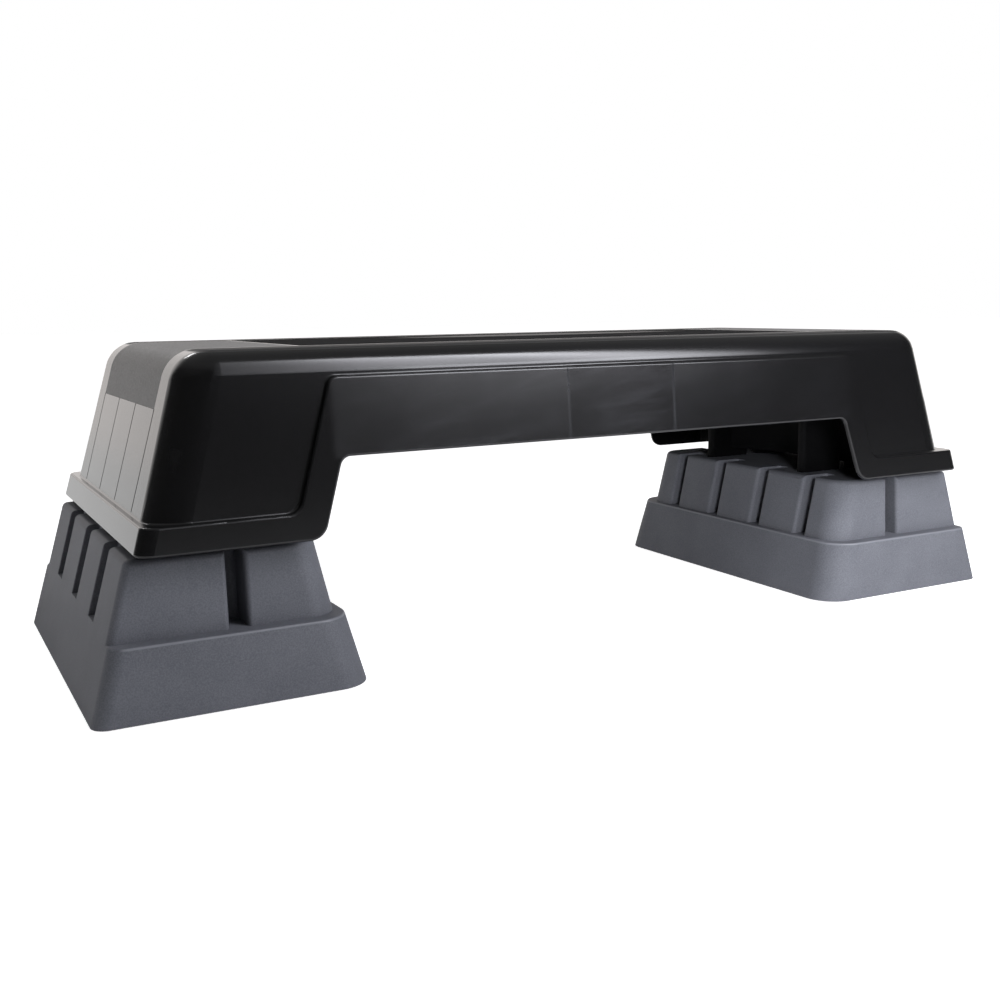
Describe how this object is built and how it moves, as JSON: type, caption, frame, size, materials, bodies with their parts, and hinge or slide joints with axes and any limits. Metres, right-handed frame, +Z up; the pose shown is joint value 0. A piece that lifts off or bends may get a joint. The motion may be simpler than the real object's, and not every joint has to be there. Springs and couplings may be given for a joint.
{
  "type": "aerobic step platform",
  "caption": "Raised exercise step: a long moulded deck with rubber tread inserts, arched between hollow boots, standing on removable tapered risers.",
  "frame": {"origin": "centre of the footprint on the floor, at the underside of the rubber feet", "axes": "+X along the deck, +Y from the front to the back, +Z up"},
  "size_m": [0.8994, 0.3448, 0.263],
  "materials": {
    "deck_plastic": "black injection-moulded plastic, fine satin grain with a soft sheen",
    "riser_plastic": "blue-grey injection-moulded plastic, fine matte texture",
    "mat_rubber": "black rubber, fine anti-slip grain",
    "grip_rubber": "dark grey rubber, fine anti-slip grain",
    "foot_rubber": "plain black rubber"
  },
  "bodies": {
    "left_riser": {"riser_left": "riser_plastic", "riser_foot_left_front_inner": "foot_rubber", "riser_foot_left_front_outer": "foot_rubber", "riser_foot_left_back_inner": "foot_rubber", "riser_foot_left_back_outer": "foot_rubber"},
    "deck": {"deck_shell": "deck_plastic", "tread_mat": "mat_rubber", "grip_left": "grip_rubber", "grip_right": "grip_rubber", "deck_shoe_left_front_inner": "foot_rubber", "deck_shoe_left_front_outer": "foot_rubber", "deck_shoe_left_back_inner": "foot_rubber", "deck_shoe_left_back_outer": "foot_rubber", "deck_shoe_right_front_inner": "foot_rubber", "deck_shoe_right_front_outer": "foot_rubber", "deck_shoe_right_back_inner": "foot_rubber", "deck_shoe_right_back_outer": "foot_rubber"},
    "right_riser": {"riser_right": "riser_plastic", "riser_foot_right_front_inner": "foot_rubber", "riser_foot_right_front_outer": "foot_rubber", "riser_foot_right_back_inner": "foot_rubber", "riser_foot_right_back_outer": "foot_rubber"}
  },
  "joints": [
    {"name": "deck_lift", "type": "slide", "parent": "left_riser", "child": "deck", "axis": [0, 0, 1], "range_m": [0, 0.1]},
    {"name": "riser_right_drop", "type": "slide", "parent": "deck", "child": "right_riser", "axis": [0, 0, -1], "range_m": [0, 0.1]}
  ],
  "couplings": [
    {"joint": "riser_right_drop", "follows": "deck_lift", "ratio": 1}
  ]
}
